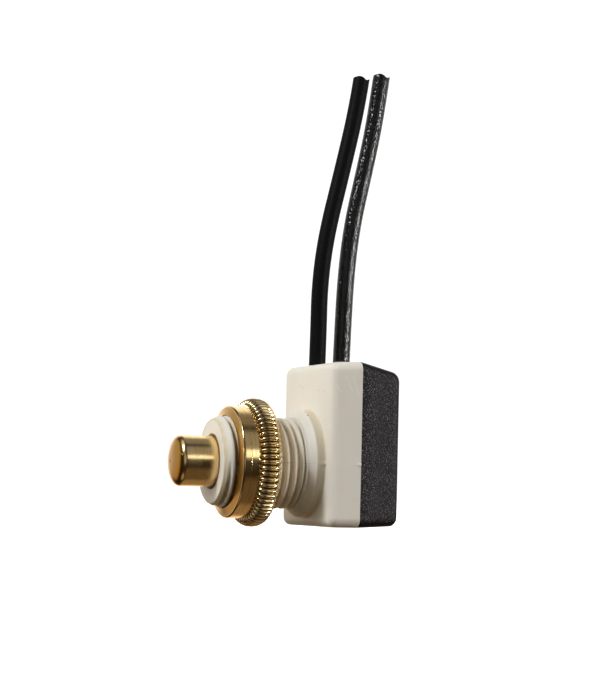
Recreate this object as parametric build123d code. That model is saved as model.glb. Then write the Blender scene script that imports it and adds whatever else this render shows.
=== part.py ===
from build123d import *
import os
from math import asin, cos, pi, radians, sin, tan

# Panel pushbutton switch that a push turns on and the next push turns off.
# Millimetres. The bushing's axis is Y, the button faces -Y and the leads leave upwards, along +Z.
# The origin is on that axis where the bushing's thread ends at its relief, ahead of the seat for a panel.

# Body: the ivory housing and the black cover that meet at the joint plane
body_width = 17.0
body_top = 12.4
body_bottom = 7.6
housing_depth = 3.8
cover_depth = 5.1
wall = 1.2
corner_round = 1.1
front_round = 0.9
rear_round = 0.9
inner_round = 0.4
side_draft = 1.5
housing_top_draft = 3.0
cover_top_draft = 14.0
cover_bottom_draft = 3.0
locating_lip_height = 0.8
locating_lip_wall = 0.6
locating_clearance = 0.08

# Bushing
thread_radius = 5.556
thread_pitch = 0.97
thread_depth = 0.52
thread_crest = 0.22
thread_root = 0.15
thread_offset = 0.57
bushing_length = 10.0
relief_width = 0.2
relief_depth = 0.35
seat_step = 0.17
seat_length = 0.25
shoulder_length = 1.25
boss_radius = 6.55
boss_height = 1.1
nose_chamfer = 0.45
nose_chamfer_length = 0.9
button_hole_radius = 3.36
bushing_lip = 1.4
bushing_bore_radius = 4.3
key_rib_radius = 3.75
key_rib_width = 1.2
key_rib_length = 4.8
key_clearance = 0.12

# Ring nut
nut_stand = 3.5
nut_clearance = 0.194
nut_collar_wall = 0.95
nut_collar_length = 1.6
nut_collar_round = 0.3
nut_groove_width = 0.16
nut_groove_depth = 0.25
nut_rim_width = 2.6
nut_rim_step = 0.5
nut_crown = 0.6
knurl_count = 66
knurl_depth = 0.5

# Button and plunger
button_radius = 3.08
button_stand = 3.9
button_dome = 1.15
button_edge_round = 0.25
button_wall = 0.45
button_flange_radius = 4.1
button_flange = 0.5
button_stroke = 2.8
stop_clearance = 0.05
plunger_fit = 0.03
plunger_shoulder = 1.0

# Index drive between the plunger's fingers and the rotor's ramps
drive_count = 4
drive_radius = 2.8
index_angle = 45.0
ramp_angle = 70.0
finger_angle = 20.0
drive_clearance = 0.12
facet_angle = 10.0

# Rotor
pilot_radius = 1.15
pilot_clearance = 0.1
pilot_length = 8.0
rotor_radius = 5.0
rotor_disc = 1.6
rotor_gap = 0.4
hub_width = 2.6
hub_clearance = 0.08
pivot_radius = 0.9
pivot_clearance = 0.06
pivot_end_gap = 0.15
pivot_boss_radius = 2.2
pivot_boss_height = 0.8
pivot_floor = 0.6

# Index spring, a leaf under the rotor's rim
notch_depth = 0.35
notch_clearance = 0.05
nose_slope = 0.7
nose_height = 0.5
leaf_thickness = 0.22
leaf_foot = 1.4
leaf_end_gap = 0.5
leaf_side_gap = 0.1

# Contacts
contact_radius = 4.2
contact_gap = 0.05
strip_thickness = 0.4
bridge_width = 2.4
bridge_hub_radius = 2.6
bridge_overhang = 1.0
tip_radius = 0.8
bridge_tip_height = 0.35
fixed_tip_height = 0.5
terminal_width = 2.2
terminal_below_tip = 1.3
terminal_tail_height = 2.2
terminal_leg_height = 7.2
seat_clearance = 0.02

# Springs
return_wire = 0.5
return_coil_radius = 3.3
return_turns = 6.0
contact_wire = 0.3
contact_coil_radius = 2.2
contact_turns = 3.5
wire_sides = 6

# Leads
lead_radius = 1.05
lead_spacing = 8.04
lead_slot_clearance = 0.1
lead_inner_end = 9.9
lead_bend_share = 0.45
conductor_radius = 0.55
conductor_length = 2.4

# Stations along the axis and radii about it, worked out from the sizes above
nose_y = -bushing_length
lip_rear_y = nose_y + bushing_lip
face_y = shoulder_length + boss_height
joint_y = face_y + housing_depth
back_y = joint_y + cover_depth
cavity_front_y = face_y + wall
floor_y = back_y - wall
seat_radius = thread_radius + seat_step
rib_root_radius = (bushing_bore_radius + thread_radius - thread_depth) / 2
nut_bore_radius = thread_radius + nut_clearance
nut_collar_radius = nut_bore_radius + nut_collar_wall
nut_rim_edge_radius = nut_collar_radius + nut_rim_step
nut_rim_radius = nut_rim_edge_radius + nut_crown
nut_rear_y = -nut_stand
nut_rim_front_y = nut_rear_y - nut_rim_width
nut_collar_rear_y = nut_rim_front_y - nut_groove_width
nut_front_y = nut_collar_rear_y - nut_collar_length
button_rim_y = nose_y - button_stand
flange_front_y = lip_rear_y + stop_clearance
flange_rear_y = flange_front_y + button_flange
spring_front_y = flange_rear_y + plunger_shoulder
disc_front_y = cavity_front_y + rotor_gap
disc_rear_y = disc_front_y + rotor_disc
drive_rise = button_stroke / radians(index_angle)
ramp_front_y = disc_front_y - drive_rise * radians(ramp_angle)
tube_end_y = ramp_front_y - drive_clearance - button_stroke
pilot_front_y = disc_front_y - pilot_length
pivot_boss_y = floor_y - pivot_boss_height
strip_front_y = floor_y - strip_thickness
fixed_tip_y = strip_front_y - fixed_tip_height
bridge_rear_y = fixed_tip_y - contact_gap - bridge_tip_height
bridge_front_y = bridge_rear_y - strip_thickness
lead_y = joint_y - lead_radius - lead_slot_clearance
tail_front_y = lead_y + conductor_radius + seat_clearance


def station(y):
    """Plane across the axis at y, with its own x along X and its own y along Z."""
    return Plane.XZ.offset(-y)


def body_outline(y, inset=0.0):
    """The body's outline at y, drafted away from the joint plane and moved in by inset."""
    ahead = max(joint_y - y, 0.0)
    behind = max(y - joint_y, 0.0)
    half_width = body_width / 2 - (ahead + behind) * tan(radians(side_draft)) - inset
    top = body_top - ahead * tan(radians(housing_top_draft)) - behind * tan(radians(cover_top_draft)) - inset
    bottom = body_bottom - behind * tan(radians(cover_bottom_draft)) - inset
    corner = max(corner_round - inset, inner_round)
    return station(y) * Pos(0, (top - bottom) / 2) * RectangleRounded(2 * half_width, top + bottom, corner)


def body_block(y_from, y_to, inset=0.0):
    return loft([body_outline(y_from, inset), body_outline(y_to, inset)], ruled=True)


def turned(*points):
    """A solid of revolution about the axis from (radius, y) points."""
    return revolve(make_face(Polyline(*points, close=True)), Axis.Y)


def rod(radius, y_from, y_to):
    return extrude(station(y_from) * Circle(radius), -(y_to - y_from))


def plate(width, height, y_from, y_to, x=0.0, z=0.0):
    return extrude(station(y_from) * Pos(x, z) * Rectangle(width, height), -(y_to - y_from))


def both_sides(make):
    """The same piece on the left (-X) and on the right (+X)."""
    return {"left": make(-1), "right": make(1)}


def key_ribs(grow=0.0):
    """Two ribs that stand in from the bushing's bore and keep the plunger from turning."""
    height = bushing_bore_radius - key_rib_radius + grow
    ribs = Part()
    width = key_rib_width + 2 * grow
    end_y = lip_rear_y + key_rib_length
    for side in (-1, 1):
        centre = side * (key_rib_radius - grow + height / 2 + wall / 2)
        ribs += plate(height + wall, width, lip_rear_y, end_y, centre)
    return ribs & rod(rib_root_radius, lip_rear_y, end_y)


def threaded_barrel():
    """The bushing ahead of its relief, with one helical groove that runs out at both ends."""
    over = thread_depth / 2
    flank = (thread_pitch - thread_crest - thread_root) / 2
    half_root = thread_root / 2
    half_mouth = half_root + flank * (thread_depth + over) / thread_depth
    root_radius = thread_radius - thread_depth
    outer_radius = thread_radius + over
    section = make_face(
        Polyline(
            (root_radius, 0, -half_root),
            (outer_radius, 0, -half_mouth),
            (outer_radius, 0, half_mouth),
            (root_radius, 0, half_root),
            close=True,
        )
    )
    # The groove's middle passes the +X side at thread_offset ahead of the relief, and starts a turn before that
    start_y = thread_pitch - thread_offset
    helix = Helix(thread_pitch, start_y + bushing_length + thread_pitch, root_radius)
    groove = Pos(0, start_y, 0) * Rot(90, 0, 0) * sweep(section, path=helix, is_frenet=True)
    # The blank stands out past both ends of the groove, and the trim cuts it back to the nose and the relief
    spare = 3 * thread_pitch
    barrel = rod(thread_radius, nose_y - spare, spare) - groove
    trim = turned(
        (0, nose_y),
        (thread_radius - nose_chamfer, nose_y),
        (thread_radius, nose_y + nose_chamfer_length),
        (thread_radius, 0),
        (0, 0),
    )
    return barrel & trim


def lead_slots():
    """Round-bottomed slots in the top wall that the cover closes over the leads."""
    radius = lead_radius + lead_slot_clearance
    low = lead_inner_end
    high = body_top + wall
    slots = Part()
    for side in (-1, 1):
        x = side * lead_spacing / 2
        mouth = Pos(x, (lead_y + joint_y) / 2, (low + high) / 2)
        slots += Pos(x, lead_y, (low + high) / 2) * Cylinder(radius, high - low)
        slots += mouth * Box(2 * radius, joint_y - lead_y, high - low)
    return slots


def housing():
    block = body_block(face_y, joint_y)
    front_edges = block.faces().sort_by(Axis.Y)[0].edges()
    block = fillet(front_edges, front_round)
    block -= body_block(cavity_front_y, joint_y, wall)
    shoulder = turned(
        (0, cavity_front_y),
        (boss_radius, cavity_front_y),
        (boss_radius, shoulder_length),
        (seat_radius, relief_width + seat_length),
        (seat_radius, relief_width),
        (thread_radius - relief_depth, relief_width),
        (thread_radius - relief_depth, 0),
        (0, 0),
    )
    body = block + shoulder + threaded_barrel()
    body -= rod(button_hole_radius, nose_y, lip_rear_y)
    body -= rod(bushing_bore_radius, lip_rear_y, cavity_front_y)
    return body + key_ribs() - lead_slots()


def locating_lip():
    """A rim on the cover's sides and bottom that fits inside the housing's wall."""
    inner = wall + locating_clearance + locating_lip_wall
    lip = body_block(joint_y - locating_lip_height, joint_y, wall + locating_clearance)
    lip += body_block(joint_y, joint_y + locating_lip_height, wall / 2)
    lip -= body_block(joint_y - locating_lip_height, joint_y, inner)
    lip -= body_block(joint_y, joint_y + locating_lip_height, inner)
    below_leads = 2 * terminal_leg_height
    keep = plate(body_width, below_leads, joint_y - locating_lip_height, joint_y + locating_lip_height)
    return lip & keep


def rear_cover():
    block = body_block(joint_y, back_y)
    back_edges = block.faces().sort_by(Axis.Y)[-1].edges()
    block = fillet(back_edges, rear_round)
    block -= body_block(joint_y, floor_y, wall)
    block += locating_lip()
    block += rod(pivot_boss_radius, pivot_boss_y, floor_y)
    return block - rod(pivot_radius + pivot_clearance, pivot_boss_y, back_y - pivot_floor)


def ring_nut():
    rim_mid_y = (nut_rear_y + nut_rim_front_y) / 2
    rim_front = (nut_rim_edge_radius, nut_rim_front_y)
    rim_rear = (nut_rim_edge_radius, nut_rear_y)
    crown = ThreePointArc(rim_front, (nut_rim_radius, rim_mid_y), rim_rear)
    closing = Polyline(rim_rear, (nut_bore_radius, nut_rear_y), (nut_bore_radius, nut_rim_front_y), rim_front)
    rim = revolve(make_face(crown + closing), Axis.Y)
    rim &= extrude(station(nut_rear_y) * knurl_outline(), nut_rim_width)
    collar = turned(
        (nut_bore_radius, nut_rim_front_y),
        (nut_collar_radius - nut_groove_depth, nut_rim_front_y),
        (nut_collar_radius - nut_groove_depth, nut_collar_rear_y),
        (nut_collar_radius, nut_collar_rear_y),
        (nut_collar_radius, nut_front_y),
        (nut_bore_radius, nut_front_y),
    )
    front_edges = collar.edges().group_by(Axis.Y)[0]
    return rim + fillet(front_edges, nut_collar_round)


def knurl_outline():
    """A ring of pointed teeth, cut by the rim's crown to one height."""
    tip = nut_rim_radius + nut_groove_depth
    root = nut_rim_radius - knurl_depth
    step = pi / knurl_count
    points = []
    for i in range(2 * knurl_count):
        radius = root if i % 2 else tip
        points.append((radius * cos(i * step), radius * sin(i * step)))
    return make_face(Polyline(*points, close=True))


def push_button():
    inner = button_radius - button_wall
    tip_y = button_rim_y - button_dome
    rim = (button_radius, button_rim_y)
    dome_radius = (button_radius**2 + button_dome**2) / (2 * button_dome)
    half_turn = asin(button_radius / dome_radius) / 2
    dome_middle = (dome_radius * sin(half_turn), tip_y + dome_radius * (1 - cos(half_turn)))
    dome = ThreePointArc((0, tip_y), dome_middle, rim)
    sides = Polyline(
        rim,
        (button_radius, flange_front_y),
        (button_flange_radius, flange_front_y),
        (button_flange_radius, flange_rear_y),
        (inner, flange_rear_y),
        (inner, button_rim_y + button_wall),
        (0, button_rim_y + button_wall),
        (0, tip_y),
    )
    section = make_face(dome + sides)
    rim_corner = section.vertices().sort_by_distance(rim)[0]
    shell = revolve(fillet(rim_corner, button_edge_round), Axis.Y)
    return shell - key_ribs(key_clearance)


def sector(from_angle, to_angle, inner, flat_y, end_y):
    """A block between two angles about the axis, with one flat end and one helical end at end_y(angle)."""
    steps = max(round((to_angle - from_angle) / facet_angle), 1)
    slices = []
    for i in range(steps + 1):
        angle = radians(from_angle + (to_angle - from_angle) * i / steps)
        top_y = end_y(angle)
        corners = []
        for radius, y in ((inner, flat_y), (drive_radius, flat_y), (drive_radius, top_y), (inner, top_y)):
            corners.append((radius * sin(angle), y, radius * cos(angle)))
        slices.append(make_face(Polyline(*corners, close=True)))
    return loft(slices, ruled=True)


def ramp_y(top_angle):
    """Height of the drive helix below its top, as a function of the angle."""
    return lambda angle: ramp_front_y + drive_rise * (radians(top_angle) - angle)


def plunger():
    stem = button_radius - button_wall - plunger_fit
    pilot_bore = pilot_radius + pilot_clearance
    body = turned(
        (0, button_rim_y + button_wall + plunger_fit),
        (stem, button_rim_y + button_wall + plunger_fit),
        (stem, flange_rear_y),
        (button_flange_radius, flange_rear_y),
        (button_flange_radius, spring_front_y),
        (drive_radius, spring_front_y),
        (drive_radius, tube_end_y),
        (0, tube_end_y),
    )
    body -= rod(pilot_bore, pilot_front_y - button_stroke - stop_clearance, tube_end_y)
    body -= key_ribs(key_clearance)
    for i in range(drive_count):
        top_angle = i * 360 / drive_count
        helix = ramp_y(top_angle)
        end_y = lambda angle: helix(angle) - drive_clearance
        body += sector(top_angle - finger_angle, top_angle, pilot_bore, tube_end_y - strip_thickness, end_y)
    return body


def index_notch():
    """A vee in the rotor's rim, where the index spring's nose drops in after each full push."""
    bottom = rotor_radius - notch_depth
    mouth = rotor_radius + notch_depth
    half_mouth = 2 * notch_depth / nose_slope
    vee = Polyline((0, -bottom), (half_mouth, -mouth), (-half_mouth, -mouth), close=True)
    return extrude(station(disc_front_y) * make_face(vee), -rotor_disc)


def index_spring():
    """A bowed leaf between the housing's side walls, with its nose in the rotor's lowest notch."""
    seat = -(body_bottom - wall) + seat_clearance + leaf_thickness
    nose = -(rotor_radius - notch_depth) - notch_clearance
    shoulder_z = nose - nose_height
    half_length = body_width / 2 - wall - leaf_end_gap
    right = [(nose_height / nose_slope, shoulder_z), (half_length - leaf_foot, seat), (half_length, seat)]
    left = [(-x, z) for x, z in reversed(right)]
    top = left + [(0, nose)] + right
    under = [(x, z - leaf_thickness) for x, z in reversed(top)]
    front_y = cavity_front_y + leaf_side_gap
    width = joint_y - locating_lip_height - leaf_side_gap - front_y
    return extrude(station(front_y) * make_face(Polyline(*top, *under, close=True)), -width)


def index_rotor():
    body = rod(rotor_radius, disc_front_y, disc_rear_y)
    body += rod(pilot_radius, pilot_front_y, disc_front_y)
    for i in range(drive_count):
        top_angle = i * 360 / drive_count
        flat_y = disc_rear_y - rotor_disc / 2
        body += sector(top_angle - ramp_angle, top_angle, pilot_radius / 2, flat_y, ramp_y(top_angle))
    for i in range(drive_count):
        body -= Rot(0, i * 360 / drive_count, 0) * index_notch()
    body += plate(hub_width, hub_width, disc_rear_y, pivot_boss_y - pivot_end_gap)
    return body + rod(pivot_radius, disc_rear_y, back_y - pivot_floor - pivot_end_gap)


def contact_bridge():
    length = 2 * (contact_radius + bridge_overhang)
    strip = station(bridge_front_y) * SlotOverall(length, bridge_width)
    strip += station(bridge_front_y) * Circle(bridge_hub_radius)
    hole = hub_width + 2 * hub_clearance
    return extrude(strip, -strip_thickness) - plate(hole, hole, bridge_front_y, bridge_rear_y)


def tip(side, y_from, y_to):
    return Pos(side * contact_radius, 0, 0) * rod(tip_radius, y_from, y_to)


def fixed_contact(side):
    """A stamped strip: a foot on the cover's floor, a leg forward and a tail up behind the conductor."""
    foot_low = -terminal_below_tip
    leg_high = terminal_leg_height + strip_thickness
    tail_rear_y = tail_front_y + strip_thickness
    profile = make_face(
        Polyline(
            (0, floor_y, foot_low),
            (0, floor_y, leg_high),
            (0, tail_rear_y, leg_high),
            (0, tail_rear_y, leg_high + terminal_tail_height),
            (0, tail_front_y, leg_high + terminal_tail_height),
            (0, tail_front_y, terminal_leg_height),
            (0, strip_front_y, terminal_leg_height),
            (0, strip_front_y, foot_low),
            close=True,
        )
    )
    return Pos(side * contact_radius, 0, 0) * extrude(profile, terminal_width / 2, dir=(1, 0, 0), both=True)


def coil(radius, wire, turns, y_from, y_to):
    """A coil spring along the axis between two seats."""
    height = y_to - y_from - wire
    section = Pos(radius, 0, 0) * Rot(90, 0, 0) * RegularPolygon(wire / 2, wire_sides)
    spring = sweep(section, path=Helix(height / turns, height, radius), is_frenet=True)
    return Pos(0, y_to - wire / 2, 0) * Rot(90, 0, 0) * spring


def lead_route(side):
    """Points of a lead's route from inside the body to its cut end."""
    x = side * lead_spacing / 2
    left = [(5.00, 9.9), (5.12, 16.3), (5.14, 22.7), (5.90, 29.05), (7.80, 37.1), (9.63, 45.3), (10.20, 49.3)]
    right = [(5.00, 9.9), (5.16, 16.5), (5.45, 23.5), (6.14, 29.6), (7.53, 36.0), (8.82, 42.3), (9.59, 48.1)]
    return [Vector(x, y, z) for y, z in (left if side < 0 else right)]


def lead(side):
    """A plain tube along straight runs, with each bend as wide as its two runs allow."""
    points = lead_route(side)
    radii = []
    for before, at, after in zip(points, points[1:], points[2:]):
        run = min((at - before).length, (after - at).length)
        turn = radians((at - before).get_angle(after - at))
        radii.append(lead_bend_share * run / tan(turn / 2))
    print("lead bend radii", [round(radius, 1) for radius in radii])
    path = FilletPolyline(*points, radius=radii)
    start = Plane(origin=path @ 0, z_dir=path % 0)
    return sweep(start * Circle(lead_radius), path=path)


def conductor(side):
    middle = lead_inner_end - conductor_length / 2
    return Pos(side * lead_spacing / 2, lead_y, middle) * Cylinder(conductor_radius, conductor_length)


parts = {
    "housing": housing(),
    "rear_cover": rear_cover(),
    "push_button": push_button(),
    "plunger": plunger(),
    "ring_nut": ring_nut(),
    "index_rotor": index_rotor(),
    "index_spring": index_spring(),
    "contact_bridge": contact_bridge(),
    "return_spring": coil(return_coil_radius, return_wire, return_turns, spring_front_y, disc_front_y),
    "contact_spring": coil(contact_coil_radius, contact_wire, contact_turns, disc_rear_y, bridge_front_y),
}
sided = {
    "bridge_tip": both_sides(lambda side: tip(side, bridge_rear_y, bridge_rear_y + bridge_tip_height)),
    "contact_tip": both_sides(lambda side: tip(side, fixed_tip_y, strip_front_y)),
    "fixed_contact": both_sides(fixed_contact),
    "lead": both_sides(lead),
    "conductor": both_sides(conductor),
}
for name, pair in sided.items():
    for side_name, shape in pair.items():
        parts[f"{name}_{side_name}"] = shape

os.makedirs("parts", exist_ok=True)
for name, shape in parts.items():
    export_step(shape, f"parts/{name}.step")
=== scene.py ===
from math import atan2, copysign, cos, exp, pi, radians, sin, sqrt, tan

import bmesh
import bpy
from mathutils import Euler, Matrix, Vector


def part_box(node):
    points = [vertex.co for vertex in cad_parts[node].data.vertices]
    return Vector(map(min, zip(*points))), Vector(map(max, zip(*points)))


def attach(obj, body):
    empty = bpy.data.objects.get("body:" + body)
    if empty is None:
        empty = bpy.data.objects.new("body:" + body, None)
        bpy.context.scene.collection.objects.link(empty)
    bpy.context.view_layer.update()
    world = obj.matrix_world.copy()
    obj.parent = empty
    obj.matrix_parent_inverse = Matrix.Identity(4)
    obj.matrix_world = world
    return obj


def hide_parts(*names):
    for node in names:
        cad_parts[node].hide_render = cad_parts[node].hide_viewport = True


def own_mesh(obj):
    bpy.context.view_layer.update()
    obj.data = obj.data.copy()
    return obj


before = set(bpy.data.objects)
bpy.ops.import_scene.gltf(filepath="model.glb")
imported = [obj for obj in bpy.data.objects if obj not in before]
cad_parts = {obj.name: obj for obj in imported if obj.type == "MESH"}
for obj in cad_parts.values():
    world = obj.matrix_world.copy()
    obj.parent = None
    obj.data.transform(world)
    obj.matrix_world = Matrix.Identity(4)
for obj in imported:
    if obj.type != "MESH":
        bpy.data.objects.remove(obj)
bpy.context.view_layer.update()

# Housing: one ivory moulding, the front half of the body with the threaded bushing on it.
# Its mould parts at mid height, which leaves a fine line along both sides of the bushing.
# Two round-bottomed slots in its top wall let the leads out.
mm = 0.001
housing_low, housing_high = (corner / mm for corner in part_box("housing"))
nose_y = housing_low.y
joint_y = housing_high.y
half_width = housing_high.x
body_top = housing_high.z
body_bottom = -housing_low.z
corner_round = 1.1
smallest_corner = 0.2
edge_break = 0.07
round_middle = 0.3
wall = 1.2
face_y = 2.35
front_round = 0.9
cavity_front_y = face_y + wall
side_slope = tan(radians(1.5))
housing_top_slope = tan(radians(3))
cover_top_slope = tan(radians(14))
cover_bottom_slope = tan(radians(3))
outline_step = 2.5
thread_radius = 5.556
thread_pitch = 0.98
thread_depth = 0.52
thread_offset = 0.60
groove_form = (
    (0.0, 1.0),
    (0.075, 0.985),
    (0.11, 0.92),
    (0.225, 0.5),
    (0.35, 0.065),
    (0.385, 0.02),
    (0.42, 0.0),
)
groove_end_turn = 9.03
groove_fade_turns = 0.11
groove_turns = range(10, -3, -1)
nose_lead_depth = 0.45
nose_lead_slope = 0.5
nose_edge = 0.05
relief_y = 0.2
relief_depth = 0.35
seat_radius = 5.726
seat_y = 0.45
shoulder_y = 1.25
boss_radius = 6.55
hole_radius = 3.36
bore_radius = 4.3
lip_rear_y = nose_y + 1.4
rib_flat = 3.75
rib_half_width = 0.6
rib_rear_y = lip_rear_y + 4.8
parting_height = 0.010
parting_width = 0.045
parting_steps = (0.0025, 0.006, 0.012, 0.02, 0.03)
rib_side_step = 0.0015
boss_nub = 0.28
joint_nub = 0.25
joint_nub_z = -0.05
nub_stand = 0.6
lead_half_spacing = 4.02
lead_exit_y = 5.0
slot_radius = 1.15
slot_depth = 2.5
slot_sides = 24
smallest_share = 1e-9
merge_distance = 0.0004


def outline_sizes(y, inset):
    """Half width, top, bottom and corner radius of the body at y, moved in by inset."""
    ahead = max(joint_y - y, 0)
    behind = max(y - joint_y, 0)
    half = half_width - (ahead + behind) * side_slope - inset
    top = body_top - ahead * housing_top_slope - behind * cover_top_slope - inset
    bottom = body_bottom - behind * cover_bottom_slope - inset
    return half, top, bottom, max(corner_round - inset, smallest_corner)


def outline_place(angle):
    """Where a line from the axis at this angle meets the outline, as a place that holds at any inset."""
    half, top, bottom, corner = outline_sizes(joint_y, 0)
    across = cos(angle)
    up = sin(angle)
    limit = top if up > 0 else bottom
    reach = min(half / max(abs(across), smallest_share), limit / max(abs(up), smallest_share))
    centre_x = copysign(half - corner, across)
    centre_z = copysign(limit - corner, up)
    if abs(across * reach) > abs(centre_x) and abs(up * reach) > abs(centre_z):
        along = across * centre_x + up * centre_z
        reach = along + sqrt(max(along**2 - centre_x**2 - centre_z**2 + corner**2, 0))
    x = across * reach
    z = up * reach
    share_x = max(-1, min(1, x / (half - corner)))
    share_z = max(0, min(1, (z + bottom - corner) / (top + bottom - 2 * corner)))
    out_x = (x - share_x * (half - corner)) / corner
    out_z = (z + bottom - corner - share_z * (top + bottom - 2 * corner)) / corner
    return share_x, share_z, out_x, out_z


def outline_point(place, y, inset=0.0):
    share_x, share_z, out_x, out_z = place
    half, top, bottom, corner = outline_sizes(y, inset)
    x = share_x * (half - corner) + out_x * corner
    z = share_z * (top + bottom - 2 * corner) - bottom + corner + out_z * corner
    return x, y, z


def bends(step):
    """Angles from 0 to a right angle, this many degrees apart."""
    return [radians(step * i) for i in range(90 // step + 1)]


def turn_angles(extra=()):
    """Angles round the axis from 0 to a full turn, closer together at the body's four corners."""
    angles = [radians(outline_step * i) for i in range(round(360 / outline_step))]
    half, top, bottom, corner = outline_sizes(joint_y, 0)
    for x, z in ((1, top), (-1, top), (1, -bottom), (-1, -bottom)):
        centre_x = x * (half - corner)
        centre_z = copysign(abs(z) - corner, z)
        for bend in bends(9):
            corner_x = centre_x + x * corner * cos(bend)
            corner_z = centre_z + copysign(corner * sin(bend), z)
            angles.append(atan2(corner_z, corner_x) % (2 * pi))
    angles += [angle % (2 * pi) for angle in extra]
    return sorted(set(angles)) + [2 * pi]


def ring(angle, radius, y):
    return radius * cos(angle), y, radius * sin(angle)


def shaped_piece(name, shape):
    """Makes an object of this shape and links it to the scene."""
    mesh = bpy.data.meshes.new(name)
    shape.to_mesh(mesh)
    shape.free()
    piece = bpy.data.objects.new(name, mesh)
    bpy.context.scene.collection.objects.link(piece)
    return piece


def skin(name, columns):
    """A closed mesh from columns of points in mm, each a closed section, joined side by side."""
    rows = len(columns[0])
    points = [Vector(point) * mm for column in columns for point in column]
    faces = []
    for j in range(len(columns) - 1):
        for i in range(rows):
            here = j * rows
            after = (i + 1) % rows
            faces.append((here + i, here + after, here + rows + after, here + rows + i))
    mesh = bpy.data.meshes.new(name)
    mesh.from_pydata(points, [], faces)
    shape = bmesh.new()
    shape.from_mesh(mesh)
    bpy.data.meshes.remove(mesh)
    bmesh.ops.remove_doubles(shape, verts=shape.verts, dist=merge_distance * mm)
    bmesh.ops.recalc_face_normals(shape, faces=shape.faces)
    return shaped_piece(name, shape)


def soften(piece, sharp_from):
    """Smooth shading, apart from edges that turn by more than this many degrees."""
    piece.data.shade_smooth()
    piece.data.set_sharp_from_angle(angle=radians(sharp_from))


def groove_share(distance):
    """How much of its depth the thread's groove has at this distance from its middle."""
    for (near, deep), (far, shallow) in zip(groove_form, groove_form[1:]):
        if distance <= far:
            return deep + (shallow - deep) * (distance - near) / (far - near)
    return 0.0


def groove_middle(angle, turn):
    return -thread_offset - thread_pitch * (angle / (2 * pi) + turn)


def bushing_radius(angle, y):
    """The thread's surface: a groove that runs out before the nose, and the nose's lead-in."""
    turn = round((-thread_offset - y) / thread_pitch - angle / (2 * pi))
    fade = (groove_end_turn - turn - angle / (2 * pi)) / groove_fade_turns
    depth = thread_depth * max(0, min(1, fade))
    radius = thread_radius - depth * groove_share(abs(y - groove_middle(angle, turn)))
    lead_in = thread_radius - nose_lead_depth + (y - nose_y) * nose_lead_slope
    return min(radius, lead_in)


def parting_line(angle, radius):
    """The small ridge that the mould leaves where its halves meet."""
    off = min(abs(angle - middle) for middle in (0, pi, 2 * pi)) * radius
    return parting_height * exp(-((off / parting_width) ** 2))


def housing_column(angle):
    place = outline_place(angle)
    on_rib = abs(sin(angle)) * bore_radius < rib_half_width
    rib_radius = rib_flat / abs(cos(angle)) if on_rib else bore_radius
    column = [
        ring(angle, bore_radius, cavity_front_y),
        ring(angle, bore_radius, rib_rear_y),
        ring(angle, rib_radius, rib_rear_y),
        ring(angle, rib_radius, lip_rear_y),
        ring(angle, hole_radius, lip_rear_y),
        ring(angle, hole_radius, nose_y + 2 * edge_break),
        ring(angle, hole_radius + round_middle * edge_break, nose_y + round_middle * edge_break),
        ring(angle, hole_radius + edge_break, nose_y),
    ]
    nose_radius = bushing_radius(angle, nose_y + nose_edge)
    for share in (0.3, 0.6, 0.9):
        column.append(ring(angle, hole_radius + (nose_radius - hole_radius) * share, nose_y))
    column.append(ring(angle, nose_radius - 2 * nose_edge, nose_y))
    nose_round = round_middle * nose_edge
    column.append(ring(angle, nose_radius - 2 * nose_round, nose_y + nose_round))
    stations = [-off for off, _ in reversed(groove_form)] + [off for off, _ in groove_form[1:]]
    for turn in groove_turns:
        for station in [-thread_pitch / 2] + stations:
            y = groove_middle(angle, turn) + station
            y = max(nose_y + nose_edge, min(0, y))
            radius = bushing_radius(angle, y)
            column.append(ring(angle, radius + parting_line(angle, radius), y))
    relief_radius = thread_radius - relief_depth
    turned = [
        (relief_radius, 0),
        (relief_radius, relief_y),
        (seat_radius - edge_break, relief_y),
        (seat_radius, relief_y + edge_break),
        (seat_radius, seat_y),
    ]
    for share in (0.25, 0.5, 0.75, 0.92):
        slope_radius = seat_radius + (boss_radius - seat_radius) * share
        turned.append((slope_radius, seat_y + (shoulder_y - seat_y) * share))
    turned += [
        (boss_radius - round_middle * edge_break, shoulder_y - 0.1 * edge_break),
        (boss_radius, shoulder_y + edge_break),
        (boss_radius, (shoulder_y + face_y) / 2),
        (boss_radius, face_y - 2 * edge_break),
        (boss_radius + 2 * round_middle * edge_break, face_y - 2 * round_middle * edge_break),
        (boss_radius + 2 * edge_break, face_y),
    ]
    for radius, y in turned:
        column.append(ring(angle, radius + parting_line(angle, radius), y))
    foot = Vector(column[-1])
    face_edge = Vector(outline_point(place, face_y, front_round))
    for share in (0.25, 0.5, 0.75):
        column.append(foot.lerp(face_edge, share))
    for bend in bends(10):
        y = face_y + front_round * (1 - cos(bend))
        column.append(outline_point(place, y, front_round * (1 - sin(bend))))
    side_start = face_y + front_round
    for share in (0.3, 0.6, 0.86, 0.93):
        column.append(outline_point(place, side_start + (joint_y - side_start) * share))
    column.append(outline_point(place, joint_y - edge_break))
    column.append(outline_point(place, joint_y - round_middle * edge_break, round_middle * edge_break))
    column.append(outline_point(place, joint_y, edge_break))
    column.append(outline_point(place, joint_y, wall))
    column.append(outline_point(place, cavity_front_y, wall))
    return column


def gate_nub(columns, centre, size):
    """Draws the skin out into a small pip where the mould's halves left one."""
    for column in columns:
        for i, point in enumerate(column):
            off = (Vector(point) - Vector(centre)).length / size
            if off < 1:
                push = nub_stand * size * (1 - off * off)
                column[i] = (point[0] + push, point[1], point[2])


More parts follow.
